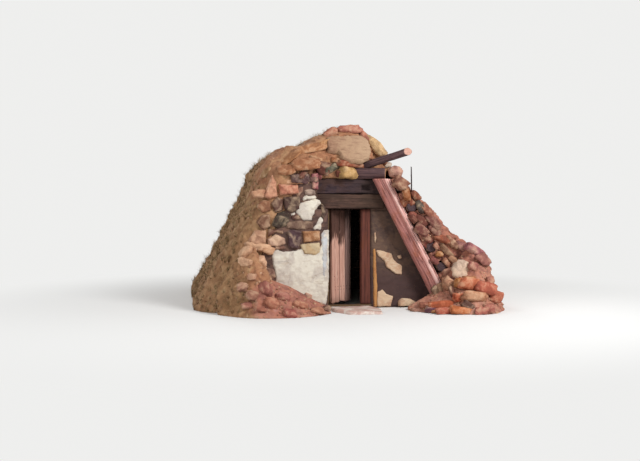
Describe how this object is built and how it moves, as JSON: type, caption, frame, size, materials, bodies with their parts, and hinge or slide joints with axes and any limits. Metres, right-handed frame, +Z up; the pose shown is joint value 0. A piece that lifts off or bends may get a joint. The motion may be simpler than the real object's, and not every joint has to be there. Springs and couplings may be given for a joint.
{
  "type": "turf house",
  "caption": "Small turf house with a hollow room, a timber and rubble front with a hinged board door, and a cover of earth and sods on long poles.",
  "frame": {"origin": "on the ground, in the plane of the door posts' front, in the middle of the house's frame", "axes": "the front faces -Y, +X is to the right of someone facing it, +Z is up"},
  "size_m": [5.1379, 5.3606, 3.0042],
  "materials": {
    "threshold_stone": "worn, matt",
    "hewn_wood": "weathered, matt",
    "red_wood": "weathered, matt",
    "brown_log": "weathered, matt",
    "dark_log": "weathered, matt",
    "whitewashed_rubble": "limewash over rubble, matt",
    "daub": "rough, matt",
    "rose_timber": "weathered, matt",
    "clay_earth": "earth, matt",
    "red_earth": "earth, matt",
    "dry_turf": "turf, matt",
    "pole_wood": "weathered, matt",
    "purple_pole": "weathered, matt",
    "rubble": "rubble, matt",
    "pale_stone": "stone, matt",
    "rose_stone": "stone, matt",
    "door_wood": "weathered boards, matt"
  },
  "bodies": {
    "house": {"threshold_slab": "threshold_stone", "door_sill": "hewn_wood", "left_jamb": "hewn_wood", "right_jamb": "red_wood", "lower_lintel_log": "brown_log", "upper_lintel_log": "dark_log", "inner_lower_lintel": "brown_log", "inner_upper_lintel": "brown_log", "left_rubble_wall": "whitewashed_rubble", "right_daub_wall": "daub", "right_leaning_timber": "rose_timber", "left_verge_stones": "clay_earth", "right_verge_stones": "red_earth", "crown_face": "clay_earth", "front_frame_legs": "pole_wood", "front_frame_cap": "pole_wood", "rear_frame_legs": "pole_wood", "rear_frame_cap": "pole_wood", "left_side_poles": "pole_wood", "right_side_poles": "pole_wood", "top_poles": "pole_wood", "back_wall": "rubble", "left_turf_slope": "dry_turf", "right_turf_slope": "red_earth", "turf_crown": "clay_earth", "turf_back": "dry_turf", "left_bank": "red_earth", "right_bank": "red_earth", "long_pole": "purple_pole", "short_pole": "purple_pole", "crown_slab": "pale_stone", "shoulder_stone": "rose_stone", "stake": "purple_pole"},
    "door": {"door_stile": "door_wood", "door_board_inner": "door_wood", "door_board_middle": "door_wood", "door_board_outer": "door_wood", "door_lower_ledge": "hewn_wood", "door_upper_ledge": "hewn_wood"}
  },
  "joints": [
    {"name": "door_hinge", "type": "hinge", "parent": "house", "child": "door", "pos_m": [-0.2704, 0.055, 0.07], "axis": [0, 0, 1], "range_deg": [-38, 50]}
  ]
}
